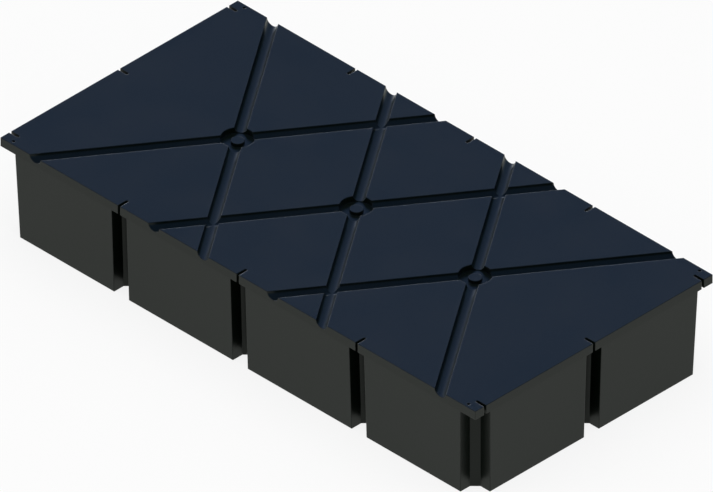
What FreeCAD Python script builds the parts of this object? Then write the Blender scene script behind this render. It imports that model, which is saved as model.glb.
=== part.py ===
"""Dock float drum: a sealed, rotationally moulded float with a slotted deck flange.

Origin: middle of the underside. X runs along the length, Y across the width, Z up.
All lengths are in millimetres, all angles in degrees.
"""
import FreeCAD, Part
import math
import os

# Overall size
float_length = 1828.8
float_width = 914.4
float_height = 304.8

# Flange: its top is the deck, and its edge stands out over the channels and corner notches
flange_thickness = 28.6
wall_lean = 9.5          # how far each side wall comes in from the flange down to the underside
edge_round = 1.0         # radius of the outer edges and of the rims of channels and notches

# Hubs, channels and slots share one pitch along the length
bay_pitch = 457.2
bay_count = 3

# Upright channels under the slots
channel_width = 57.15
channel_side_depth = 37.15
channel_chamfer = 20.0   # legs of the 45 degree faces in a channel's inner corners

# Corner notches under the flange's corner tabs
notch_side_depth = 37.15
notch_chamfer = 20.0     # legs of the 45 degree face in a notch's inner corner

# Bolt slots, open to the flange's edge
slot_width = 9.5
slot_depth = 35.0        # from the flange's edge to the far end of the slot
corner_slot_from_side = 38.1

# Bolt holes in the corner tabs
corner_hole_diameter = 9.5
corner_hole_from_end = 38.1
corner_hole_from_side = 12.7

# Hubs on the centre line
hub_radius = 47.6
hub_depth = 19.05
boss_radius = 19.05
boss_drop = 8.5          # from the deck down to the top of the boss
boss_round = 1.0

# Grooves across the deck
groove_radius = 17.5
groove_depth = 17.4
groove_angle = 35.24     # between a groove and the Y axis
rim_round = 1.0          # radius of the rims of grooves and hubs

# How far cutting shapes run past the faces they cut, and how near counts as touching
overrun = 20.0
touching = 0.01

half_length = float_length / 2
half_width = float_width / 2
flange_underside = float_height - flange_thickness
bay_places = [bay_pitch * (i - (bay_count - 1) / 2) for i in range(bay_count)]
corner_slot_place = half_width - corner_slot_from_side

# The walls are numbered anticlockwise from above: front, right, back, left
FRONT, RIGHT, BACK, LEFT = range(4)
CHANNELS = [(wall, place) for wall in (FRONT, BACK) for place in bay_places]
CHANNELS += [(wall, 0.0) for wall in (RIGHT, LEFT)]
SLOTS = [(wall, place) for wall in (FRONT, BACK) for place in bay_places]
SLOTS += [
    (wall, place)
    for wall in (RIGHT, LEFT)
    for place in (-corner_slot_place, 0.0, corner_slot_place)
]

UP = FreeCAD.Vector(0, 0, 1)


def at(wall, along, inward, z=0.0):
    """A point given by its place along a wall and its distance in from the flange's edge there."""
    x = along
    y = inward - (half_width if wall in (FRONT, BACK) else half_length)
    for _ in range(wall):
        x, y = -y, x
    return FreeCAD.Vector(x, y, z)


def flat_face(points):
    return Part.Face(Part.makePolygon(points + points[:1]))


def lean_at(wall, z):
    """How far a wall has come in at height z, as a vector."""
    share = (flange_underside - z) / flange_underside
    return (at(wall, 0.0, wall_lean) - at(wall, 0.0, 0.0)) * share


def wall_end(wall):
    """Distance from the middle of a wall to its ends."""
    return half_length if wall in (FRONT, BACK) else half_width


def depth_behind(wall, point):
    """How far a point lies behind a wall's leaning face, measured level."""
    outward = at(wall, 0.0, -1.0) - at(wall, 0.0, 0.0)
    face_point = at(wall, 0.0, 0.0) + lean_at(wall, point.z)
    return outward.dot(face_point - point)


def hull_block():
    """A block whose four walls lean in from above the deck down to the underside."""
    def ring(z):
        corners = []
        for wall in (FRONT, RIGHT, BACK, LEFT):
            next_wall = (wall + 1) % 4
            corner = at(wall, wall_end(wall), 0.0, z)
            corners.append(corner + lean_at(wall, z) + lean_at(next_wall, z))
        return corners

    low = ring(0.0)
    high = ring(float_height + overrun)
    faces = [flat_face(low), flat_face(high)]
    for i in range(4):
        j = (i + 1) % 4
        faces.append(flat_face([low[i], low[j], high[j], high[i]]))
    return Part.makeSolid(Part.makeShell(faces))


def leaning_cutter(outline, walls):
    """A cutter below the flange, over a plan outline that follows the lean of the walls it cuts."""
    low_z = -overrun
    low_shift = FreeCAD.Vector(0, 0, low_z)
    high_shift = FreeCAD.Vector(0, 0, flange_underside)
    for wall in walls:
        low_shift += lean_at(wall, low_z)
    return flat_face([corner + low_shift for corner in outline]).extrude(high_shift - low_shift)


def channel_cutter(wall, place):
    half = channel_width / 2
    back = channel_side_depth + channel_chamfer
    outline = [
        at(wall, place - half, -overrun),
        at(wall, place + half, -overrun),
        at(wall, place + half, channel_side_depth),
        at(wall, place + half - channel_chamfer, back),
        at(wall, place - half + channel_chamfer, back),
        at(wall, place - half, channel_side_depth),
    ]
    return leaning_cutter(outline, [wall])


def notch_cutter(wall):
    """The notch at the end of a wall where the next wall starts."""
    back = notch_side_depth + notch_chamfer
    end = wall_end(wall)
    outline = [
        at(wall, end - back, -overrun),
        at(wall, end + overrun, -overrun),
        at(wall, end + overrun, back),
        at(wall, end - notch_side_depth, back),
        at(wall, end - back, notch_side_depth),
    ]
    return leaning_cutter(outline, [wall, (wall + 1) % 4])


def rim_edges(shape):
    """The rims of channels and notches: edges on just one wall, between the underside and the deck."""
    found = []
    for edge in shape.Edges:
        middle = edge.CenterOfMass
        walls = [wall for wall in range(4) if abs(depth_behind(wall, middle)) < touching]
        if len(walls) == 1 and touching < middle.z < float_height:
            found.append(edge)
    return found


def bottom_edge_cutter(wall):
    """What the rounding takes off a wall's bottom edge, as a section run along the wall."""
    lean_angle = math.atan2(wall_lean, flange_underside)
    centre_in = wall_lean + edge_round * (1 - math.sin(lean_angle)) / math.cos(lean_angle)
    reach = wall_end(wall) + overrun

    def spot(inward, z):
        return at(wall, -reach, inward, z)

    def on_rounding(angle):
        """A point of the rounding, by the angle below level that it faces, outwards."""
        inward = centre_in - edge_round * math.cos(angle)
        return spot(inward, edge_round - edge_round * math.sin(angle))

    down = math.pi / 2
    wall_spot = on_rounding(lean_angle)
    edges = [
        Part.Arc(on_rounding(down), on_rounding((down + lean_angle) / 2), wall_spot),
        Part.LineSegment(wall_spot, spot(-overrun, wall_spot.z)),
        Part.LineSegment(spot(-overrun, wall_spot.z), spot(-overrun, -overrun)),
        Part.LineSegment(spot(-overrun, -overrun), spot(centre_in, -overrun)),
        Part.LineSegment(spot(centre_in, -overrun), on_rounding(down)),
    ]
    section = Part.Face(Part.Wire([edge.toShape() for edge in edges]))
    return section.extrude(at(wall, reach, 0.0) - at(wall, -reach, 0.0))


def level_edges(shape, z):
    """The edges that lie wholly at height z."""
    found = []
    for edge in shape.Edges:
        box = edge.BoundBox
        if abs(box.ZMin - z) < touching and box.ZLength < touching:
            found.append(edge)
    return found


def envelope():
    """The block that the flange's edge, corners and deck are faces of."""
    block = Part.makeBox(
        float_length,
        float_width,
        float_height + overrun,
        FreeCAD.Vector(-half_length, -half_width, -overrun),
    )
    upright = [edge for edge in block.Edges if edge.BoundBox.ZLength > float_height]
    block = block.makeFillet(edge_round, upright)
    return block.makeFillet(edge_round, level_edges(block, float_height))


def hull():
    """Walls, channels, notches and flange, with rounded rims and outer edges."""
    walls = (FRONT, RIGHT, BACK, LEFT)
    block = hull_block().cut([channel_cutter(wall, place) for wall, place in CHANNELS])
    block = block.cut([notch_cutter(wall) for wall in walls])
    block = block.makeFillet(edge_round, rim_edges(block))
    block = block.cut([bottom_edge_cutter(wall) for wall in walls])
    return block.common(envelope())


def groove_cutter(hub_x, turn):
    """A groove through a hub, with rounded rims, as a section run along its line."""
    centre_z = groove_radius - groove_depth
    rim_x = math.sqrt((groove_radius + rim_round) ** 2 - (centre_z + rim_round) ** 2)
    joint = groove_radius / (groove_radius + rim_round)
    joint_x = rim_x * joint
    joint_z = centre_z - (centre_z + rim_round) * joint
    lean = math.atan2(rim_round + joint_z, rim_x - joint_x)
    middle = (math.pi / 2 + lean) / 2
    middle_x = rim_x - rim_round * math.cos(middle)
    middle_z = -rim_round + rim_round * math.sin(middle)

    def spot(x, z):
        return FreeCAD.Vector(x, 0.0, float_height + z)

    edges = [
        Part.LineSegment(spot(rim_x, overrun), spot(-rim_x, overrun)),
        Part.LineSegment(spot(-rim_x, overrun), spot(-rim_x, 0.0)),
        Part.Arc(spot(-rim_x, 0.0), spot(-middle_x, middle_z), spot(-joint_x, joint_z)),
        Part.Arc(spot(-joint_x, joint_z), spot(0.0, -groove_depth), spot(joint_x, joint_z)),
        Part.Arc(spot(joint_x, joint_z), spot(middle_x, middle_z), spot(rim_x, 0.0)),
        Part.LineSegment(spot(rim_x, 0.0), spot(rim_x, overrun)),
    ]
    section = Part.Face(Part.Wire([edge.toShape() for edge in edges]))
    reach = half_width / math.cos(math.radians(groove_angle)) + 2 * groove_radius
    section.translate(FreeCAD.Vector(0.0, -reach, 0.0))
    cutter = section.extrude(FreeCAD.Vector(0.0, 2 * reach, 0.0))
    cutter.rotate(FreeCAD.Vector(0, 0, 0), UP, turn * groove_angle)
    cutter.translate(FreeCAD.Vector(hub_x, 0.0, 0.0))
    return cutter


def turned_solid(curves, hub_x):
    """A solid of revolution about a hub's axis, from a closed section in the XZ plane."""
    section = Part.Face(Part.Wire([curve.toShape() for curve in curves]))
    solid = section.revolve(FreeCAD.Vector(0, 0, 0), UP, 360)
    solid.translate(FreeCAD.Vector(hub_x, 0.0, 0.0))
    return solid


def round_part(centre_r, centre_z, radius, angles):
    """An arc of a section, by its centre, radius and its three angles."""
    spots = [
        FreeCAD.Vector(
            centre_r + radius * math.cos(math.radians(angle)),
            0.0,
            centre_z + radius * math.sin(math.radians(angle)),
        )
        for angle in angles
    ]
    return Part.Arc(*spots)


def line(r1, z1, r2, z2):
    return Part.LineSegment(FreeCAD.Vector(r1, 0.0, z1), FreeCAD.Vector(r2, 0.0, z2))


def hub_cutter(hub_x):
    floor_z = float_height - hub_depth
    rim_r = hub_radius + rim_round
    rim_z = float_height - rim_round
    top_z = float_height + overrun
    return turned_solid([
        line(0.0, floor_z, hub_radius, floor_z),
        line(hub_radius, floor_z, hub_radius, rim_z),
        round_part(rim_r, rim_z, rim_round, (180, 135, 90)),
        line(rim_r, float_height, rim_r, top_z),
        line(rim_r, top_z, 0.0, top_z),
        line(0.0, top_z, 0.0, floor_z),
    ], hub_x)


def boss(hub_x):
    foot_z = float_height - hub_depth - boss_round
    top_z = float_height - boss_drop
    return turned_solid([
        line(0.0, foot_z, boss_radius, foot_z),
        line(boss_radius, foot_z, boss_radius, top_z - boss_round),
        round_part(boss_radius - boss_round, top_z - boss_round, boss_round, (0, 45, 90)),
        line(boss_radius - boss_round, top_z, 0.0, top_z),
        line(0.0, top_z, 0.0, foot_z),
    ], hub_x)


def slot_cutter(wall, place):
    half = slot_width / 2
    low_z = flange_underside - overrun
    end = slot_depth - half
    edges = [
        Part.LineSegment(at(wall, place - half, end, low_z), at(wall, place - half, -overrun, low_z)),
        Part.LineSegment(at(wall, place - half, -overrun, low_z), at(wall, place + half, -overrun, low_z)),
        Part.LineSegment(at(wall, place + half, -overrun, low_z), at(wall, place + half, end, low_z)),
        Part.Arc(
            at(wall, place + half, end, low_z),
            at(wall, place, slot_depth, low_z),
            at(wall, place - half, end, low_z),
        ),
    ]
    section = Part.Face(Part.Wire([edge.toShape() for edge in edges]))
    return section.extrude(FreeCAD.Vector(0, 0, flange_thickness + 2 * overrun))


def corner_hole_cutters():
    cutters = []
    height = flange_thickness + 2 * overrun
    for side_x in (-1, 1):
        for side_y in (-1, 1):
            x = side_x * (half_length - corner_hole_from_end)
            y = side_y * (half_width - corner_hole_from_side)
            foot = FreeCAD.Vector(x, y, flange_underside - overrun)
            cutters.append(Part.makeCylinder(corner_hole_diameter / 2, height, foot))
    return cutters


def float_drum():
    cutters = [slot_cutter(wall, place) for wall, place in SLOTS]
    cutters += corner_hole_cutters()
    cutters += [groove_cutter(x, turn) for x in bay_places for turn in (-1, 1)]
    cutters += [hub_cutter(x) for x in bay_places]
    shape = hull().cut(cutters)
    return shape.fuse([boss(x) for x in bay_places]).removeSplitter()


def main():
    os.makedirs("parts", exist_ok=True)
    shape = float_drum()
    print("solids", len(shape.Solids), "valid", shape.isValid(), "volume in litres", shape.Volume / 1e6)
    print("box", shape.optimalBoundingBox(False, False))
    shape.Solids[0].exportStep("parts/float_drum.step")


main()
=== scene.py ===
"""Studio view of the dock float drum: a black moulded float on a plain white floor.

Lengths are in metres. Colours are linear, and a colour of the sky may be brighter than white.
"""
import math

import bpy
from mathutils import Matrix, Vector


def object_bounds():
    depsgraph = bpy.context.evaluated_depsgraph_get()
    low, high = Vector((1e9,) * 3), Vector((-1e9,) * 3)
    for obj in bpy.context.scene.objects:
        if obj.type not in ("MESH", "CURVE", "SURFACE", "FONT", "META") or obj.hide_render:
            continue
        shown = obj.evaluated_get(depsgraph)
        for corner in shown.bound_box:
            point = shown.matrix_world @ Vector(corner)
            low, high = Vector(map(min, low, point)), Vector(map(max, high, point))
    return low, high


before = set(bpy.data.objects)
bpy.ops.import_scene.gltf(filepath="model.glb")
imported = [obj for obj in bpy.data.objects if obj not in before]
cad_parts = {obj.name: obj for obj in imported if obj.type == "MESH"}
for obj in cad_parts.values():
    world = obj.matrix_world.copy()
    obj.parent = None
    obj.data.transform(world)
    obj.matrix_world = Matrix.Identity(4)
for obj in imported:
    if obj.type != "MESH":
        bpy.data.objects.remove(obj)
cad_low, cad_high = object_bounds()

WHITE = (1.0, 1.0, 1.0, 1.0)

# Camera: a true isometric view without perspective, as the photograph has
VIEW_AZIMUTH = math.radians(45.0)
VIEW_ELEVATION = math.atan(1 / math.sqrt(2))
VIEW_WIDTH = 1.941
VIEW_RAISE = 0.0155      # how far above the float's middle the camera looks
CAMERA_DISTANCE = 6.0
CAMERA_REACH = 100.0

# Moulded plastic where it is whole: its tone, its gloss, and how widely its edges are shaded round
BASE = (0.0010, 0.0030, 0.0012, 1.0)
SPECULAR = 0.2
ROUGHNESS = 0.3
EDGE_SHADE = 0.0024
EDGE_SAMPLES = 6

# Moulded plastic where it is scuffed, along the outer edges
WORN = (0.012, 0.012, 0.0115, 1.0)
WORN_ROUGHNESS = 0.08    # what scuffs add to the roughness
WEAR_WIDTH = 0.004
WEAR_SAMPLES = 6
WEAR_STARTS = 0.95       # share of inward rays that meet no other face where wear starts
WEAR_FULL = 0.55         # and where it is full

# Noise: the size of its patches and how finely they are broken up
PEBBLE = (0.0014, 2.0)
PEEL = (0.012, 1.0)
PATCHES = (0.16, 5.0)
SCUFFS = (0.006, 3.0)

# What the noise does: heights, and how far tone and roughness wander over its range
PEBBLE_HEIGHT = 0.0001
PEEL_HEIGHT = 0.00008
PATCH_RANGE = (0.3, 0.7)
PATCH_TONE = 0.12
ROUGHNESS_SPREAD = 0.025
SCUFF_RANGE = (0.42, 0.62)

# Floor: how much of its brightness is its own glow, and what colour the gloss sees that glow in
FLOOR_SIZE = 40.0
FLOOR_DROP = 0.0005
FLOOR_COLOUR = (0.9, 0.9, 0.9, 1.0)
FLOOR_GLOW = 0.85
FLOOR_IN_GLOSS = (0.95, 1.0, 0.94, 1.0)

# Sky that the gloss reflects: colours by the sine of the height above the horizon
LIT_SKY = [
    (-1.0, (1.00, 1.00, 1.00)),
    (0.0, (3.82, 3.82, 3.82)),
    (0.05, (3.34, 3.34, 3.34)),
    (0.1, (2.39, 2.48, 2.58)),
    (0.18, (1.43, 1.55, 1.83)),
    (0.28, (0.82, 0.96, 1.37)),
    (0.4, (0.48, 0.65, 1.12)),
    (0.5, (0.285, 0.497, 1.015)),
    (0.62, (0.227, 0.437, 0.954)),
    (0.82, (0.11, 0.20, 0.50)),
    (1.0, (0.09, 0.17, 0.43)),
]
FAR_SKY = [
    (-1.0, (1.00, 1.00, 1.00)),
    (0.0, (0.76, 0.86, 0.95)),
    (0.1, (0.29, 0.48, 0.78)),
    (0.25, (0.19, 0.36, 0.67)),
    (0.6, (0.14, 0.30, 0.65)),
    (1.0, (0.11, 0.23, 0.54)),
]

# The sky turns from far to lit as a direction comes round to this side
LIT_SIDE = Vector((-1.0, 0.0, 0.0))
LIT_FROM = 0.10
LIT_TO = 0.60

# Plain light: an even white world, and one softbox overhead
SOFT_LIGHT = 0.75
LAMP_SIZE = (3.0, 2.2)
LAMP_HEIGHT = 3.0
LAMP_POWER = 25.0

# Rim light: where it stands as seen from the float, its strength, its colour and its width across
RIM_FROM = Vector((-0.82, 0.57, -0.12))
RIM_POWER = 0.85
RIM_COLOUR = (0.85, 1.0, 1.15)
RIM_WIDTH = math.radians(30.0)


def new_material(name):
    """An empty material, with its nodes, its links and the socket for its surface."""
    material = bpy.data.materials.new(name)
    material.use_nodes = True
    nodes = material.node_tree.nodes
    nodes.clear()
    surface = nodes.new("ShaderNodeOutputMaterial").inputs["Surface"]
    return material, nodes, material.node_tree.links, surface


def grain(nodes, links, place, size, detail):
    """Cloudy noise whose patches are about this size, from 0 to 1."""
    noise = nodes.new("ShaderNodeTexNoise")
    noise.inputs["Scale"].default_value = 1.0 / size
    noise.inputs["Detail"].default_value = detail
    links.new(place, noise.inputs["Vector"])
    return noise.outputs["Fac"]


def spread(nodes, links, value, low, high, to_low=0.0, to_high=1.0, eased=False):
    """The value with the range from low to high laid onto the range from to_low to to_high."""
    step = nodes.new("ShaderNodeMapRange")
    if eased:
        step.interpolation_type = "SMOOTHSTEP"
    step.inputs["From Min"].default_value = low
    step.inputs["From Max"].default_value = high
    step.inputs["To Min"].default_value = to_low
    step.inputs["To Max"].default_value = to_high
    links.new(value, step.inputs["Value"])
    return step.outputs["Result"]


def joined(nodes, links, operation, first, second):
    """Two values joined by a sum, a product or the like."""
    step = nodes.new("ShaderNodeMath")
    step.operation = operation
    links.new(first, step.inputs[0])
    links.new(second, step.inputs[1])
    return step.outputs[0]


def over(nodes, links, share, first, second):
    """The first shader, with the second over it by this share."""
    mix = nodes.new("ShaderNodeMixShader")
    links.new(share, mix.inputs["Fac"])
    links.new(first, mix.inputs[1])
    links.new(second, mix.inputs[2])
    return mix.outputs["Shader"]


def colour_mix(nodes, links, share, first, second):
    """The first colour, with the second over it by this share. Either may be a socket."""
    mix = nodes.new("ShaderNodeMix")
    mix.data_type = "RGBA"
    links.new(share, mix.inputs["Factor"])
    for name, colour in (("A", first), ("B", second)):
        if isinstance(colour, tuple):
            mix.inputs[name].default_value = colour
        else:
            links.new(colour, mix.inputs[name])
    return mix.outputs["Result"]


def rays(nodes, links, *kinds):
    """1 for rays of these kinds, and 0 for all others."""
    path = nodes.new("ShaderNodeLightPath")
    share = path.outputs[kinds[0]]
    for kind in kinds[1:]:
        share = joined(nodes, links, "MAXIMUM", share, path.outputs[kind])
    return share


def raised(nodes, links, height, amount, normal):
    """The normal after raising the surface by up to this much."""
    bump = nodes.new("ShaderNodeBump")
    bump.inputs["Strength"].default_value = 1.0
    bump.inputs["Distance"].default_value = amount
    links.new(height, bump.inputs["Height"])
    links.new(normal, bump.inputs["Normal"])
    return bump.outputs["Normal"]


def scuffed_edges(nodes, links, place):
    """1 where an outer edge is scuffed, and 0 a few millimetres away from it."""
    depth = nodes.new("ShaderNodeAmbientOcclusion")
    depth.inside = True
    depth.only_local = True
    depth.samples = WEAR_SAMPLES
    depth.inputs["Distance"].default_value = WEAR_WIDTH
    edges = spread(nodes, links, depth.outputs["AO"], WEAR_STARTS, WEAR_FULL)
    specks = spread(nodes, links, grain(nodes, links, place, *SCUFFS), *SCUFF_RANGE)
    return joined(nodes, links, "MULTIPLY", edges, specks)


def plastic_colour(nodes, links, patches, scuffs):
    """Black, a little paler in patches, and worn where it is scuffed."""
    tone = spread(nodes, links, patches, *PATCH_RANGE, 0.0, PATCH_TONE)
    worn = joined(nodes, links, "MAXIMUM", tone, scuffs)
    return colour_mix(nodes, links, worn, BASE, WORN)


def plastic_roughness(nodes, links, patches, scuffs):
    """Satin, a little rougher in patches and where it is scuffed."""
    smoothest = ROUGHNESS - ROUGHNESS_SPREAD
    roughest = ROUGHNESS + ROUGHNESS_SPREAD
    gloss = spread(nodes, links, patches, *PATCH_RANGE, smoothest, roughest)
    rubbed = spread(nodes, links, scuffs, 0.0, 1.0, 0.0, WORN_ROUGHNESS)
    return joined(nodes, links, "ADD", gloss, rubbed)


def plastic_normal(nodes, links, place):
    """Edges shaded slightly round, under an orange peel and a fine pebble."""
    bevel = nodes.new("ShaderNodeBevel")
    bevel.samples = EDGE_SAMPLES
    bevel.inputs["Radius"].default_value = EDGE_SHADE
    peel = grain(nodes, links, place, *PEEL)
    pebble = grain(nodes, links, place, *PEBBLE)
    normal = raised(nodes, links, peel, PEEL_HEIGHT, bevel.outputs["Normal"])
    return raised(nodes, links, pebble, PEBBLE_HEIGHT, normal)


def moulded_black():
    """Black moulded polyethylene: satin, finely pebbled, of uneven gloss, with scuffed edges."""
    material, nodes, links, surface = new_material("moulded_black")
    shader = nodes.new("ShaderNodeBsdfPrincipled")
    links.new(shader.outputs["BSDF"], surface)
    shader.inputs["Specular IOR Level"].default_value = SPECULAR
    place = nodes.new("ShaderNodeTexCoord").outputs["Object"]
    patches = grain(nodes, links, place, *PATCHES)
    scuffs = scuffed_edges(nodes, links, place)
    links.new(plastic_colour(nodes, links, patches, scuffs), shader.inputs["Base Color"])
    links.new(plastic_roughness(nodes, links, patches, scuffs), shader.inputs["Roughness"])
    links.new(plastic_normal(nodes, links, place), shader.inputs["Normal"])
    return material


def white_floor():
    """White, mostly by its own glow, so that it stays white and keeps a soft shadow."""
    material, nodes, links, surface = new_material("white_floor")
    diffuse = nodes.new("ShaderNodeBsdfDiffuse")
    diffuse.inputs["Color"].default_value = FLOOR_COLOUR
    glow = nodes.new("ShaderNodeEmission")
    glossy = rays(nodes, links, "Is Glossy Ray")
    links.new(colour_mix(nodes, links, glossy, WHITE, FLOOR_IN_GLOSS), glow.inputs["Color"])
    seen = rays(nodes, links, "Is Camera Ray", "Is Glossy Ray", "Is Transmission Ray")
    share = spread(nodes, links, seen, 0.0, 1.0, 0.0, FLOOR_GLOW)
    mixed = over(nodes, links, share, diffuse.outputs["BSDF"], glow.outputs["Emission"])
    links.new(mixed, surface)
    return material


def make_floor():
    """A floor that reaches far out of view, just clear of the float's underside."""
    bpy.ops.mesh.primitive_plane_add(size=FLOOR_SIZE, location=(0.0, 0.0, -FLOOR_DROP))
    floor = bpy.context.object
    floor.name = "floor"
    floor.data.materials.append(white_floor())


def colour_by_height(nodes, links, height, colours):
    """The colour at a height from 0, straight down, to 1, straight up."""
    ramp = nodes.new("ShaderNodeValToRGB")
    stops = ramp.color_ramp.elements
    while len(stops) > 1:
        stops.remove(stops[0])
    lowest, lowest_colour = colours[0]
    stops[0].position = (lowest + 1) / 2
    stops[0].color = (*lowest_colour, 1.0)
    for sine, colour in colours[1:]:
        stops.new((sine + 1) / 2).color = (*colour, 1.0)
    links.new(height, ramp.inputs["Fac"])
    return ramp.outputs["Color"]


def sky_colour(nodes, links, direction):
    """A studio dome that is white low down and blue above, brighter on its lit side."""
    split = nodes.new("ShaderNodeSeparateXYZ")
    links.new(direction, split.inputs[0])
    height = spread(nodes, links, split.outputs["Z"], -1.0, 1.0)
    side = nodes.new("ShaderNodeVectorMath")
    side.operation = "DOT_PRODUCT"
    side.inputs[1].default_value = LIT_SIDE
    links.new(direction, side.inputs[0])
    lit = spread(nodes, links, side.outputs["Value"], LIT_FROM, LIT_TO, eased=True)
    far_colour = colour_by_height(nodes, links, height, FAR_SKY)
    lit_colour = colour_by_height(nodes, links, height, LIT_SKY)
    return colour_mix(nodes, links, lit, far_colour, lit_colour)


def plain_white(nodes, strength):
    """A background that is white at this strength in every direction."""
    background = nodes.new("ShaderNodeBackground")
    background.inputs["Color"].default_value = WHITE
    background.inputs["Strength"].default_value = strength
    return background.outputs["Background"]


def make_world():
    """Plain white to the camera, plain soft light, and a studio dome for the gloss to reflect."""
    world = bpy.data.worlds.new("studio")
    bpy.context.scene.world = world
    world.use_nodes = True
    nodes = world.node_tree.nodes
    links = world.node_tree.links
    nodes.clear()
    surface = nodes.new("ShaderNodeOutputWorld").inputs["Surface"]
    direction = nodes.new("ShaderNodeTexCoord").outputs["Generated"]
    sky = nodes.new("ShaderNodeBackground")
    links.new(sky_colour(nodes, links, direction), sky.inputs["Color"])
    soft = plain_white(nodes, SOFT_LIGHT)
    white = plain_white(nodes, 1.0)
    seen = rays(nodes, links, "Is Camera Ray", "Is Transmission Ray")
    plain = over(nodes, links, seen, soft, white)
    glossy = rays(nodes, links, "Is Glossy Ray")
    links.new(over(nodes, links, glossy, plain, sky.outputs["Background"]), surface)
    world.cycles.sampling_method = "NONE"


def put(name, data, location=(0.0, 0.0, 0.0), rotation=None):
    """Places a light or a camera in the scene."""
    holder = bpy.data.objects.new(name, data)
    holder.location = location
    if rotation is not None:
        holder.rotation_mode = "QUATERNION"
        holder.rotation_quaternion = rotation
    bpy.context.scene.collection.objects.link(holder)
    return holder


def make_lamp():
    """One large softbox overhead, which lights evenly and leaves no glare on the deck."""
    lamp = bpy.data.lights.new("overhead", "AREA")
    lamp.shape = "RECTANGLE"
    lamp.size, lamp.size_y = LAMP_SIZE
    lamp.energy = LAMP_POWER
    put("overhead", lamp, (0.0, 0.0, LAMP_HEIGHT)).visible_glossy = False


def make_rim_light():
    """A faint, wide light from low down behind, which picks out the rims and throws no shadow."""
    light = bpy.data.lights.new("rim", "SUN")
    light.energy = RIM_POWER
    light.color = RIM_COLOUR
    light.angle = RIM_WIDTH
    light.use_shadow = False
    put("rim", light, rotation=RIM_FROM.to_track_quat("Z", "Y"))


def make_camera():
    """The camera, square to the isometric view of the float's middle."""
    centre = (cad_low + cad_high) / 2
    back = Vector((
        math.sin(VIEW_AZIMUTH) * math.cos(VIEW_ELEVATION),
        -math.cos(VIEW_AZIMUTH) * math.cos(VIEW_ELEVATION),
        math.sin(VIEW_ELEVATION),
    ))
    camera = bpy.data.cameras.new("camera")
    camera.type = "ORTHO"
    camera.ortho_scale = VIEW_WIDTH
    camera.clip_end = CAMERA_REACH
    rotation = (-back).to_track_quat("-Z", "Y")
    up = rotation @ Vector((0.0, 1.0, 0.0))
    place = centre + back * CAMERA_DISTANCE + up * VIEW_RAISE
    bpy.context.scene.camera = put("camera", camera, place, rotation)


def main():
    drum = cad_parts["float_drum"]
    drum.data.materials.clear()
    drum.data.materials.append(moulded_black())
    make_floor()
    make_world()
    make_lamp()
    make_rim_light()
    make_camera()
    bpy.context.scene.view_settings.view_transform = "Standard"


main()
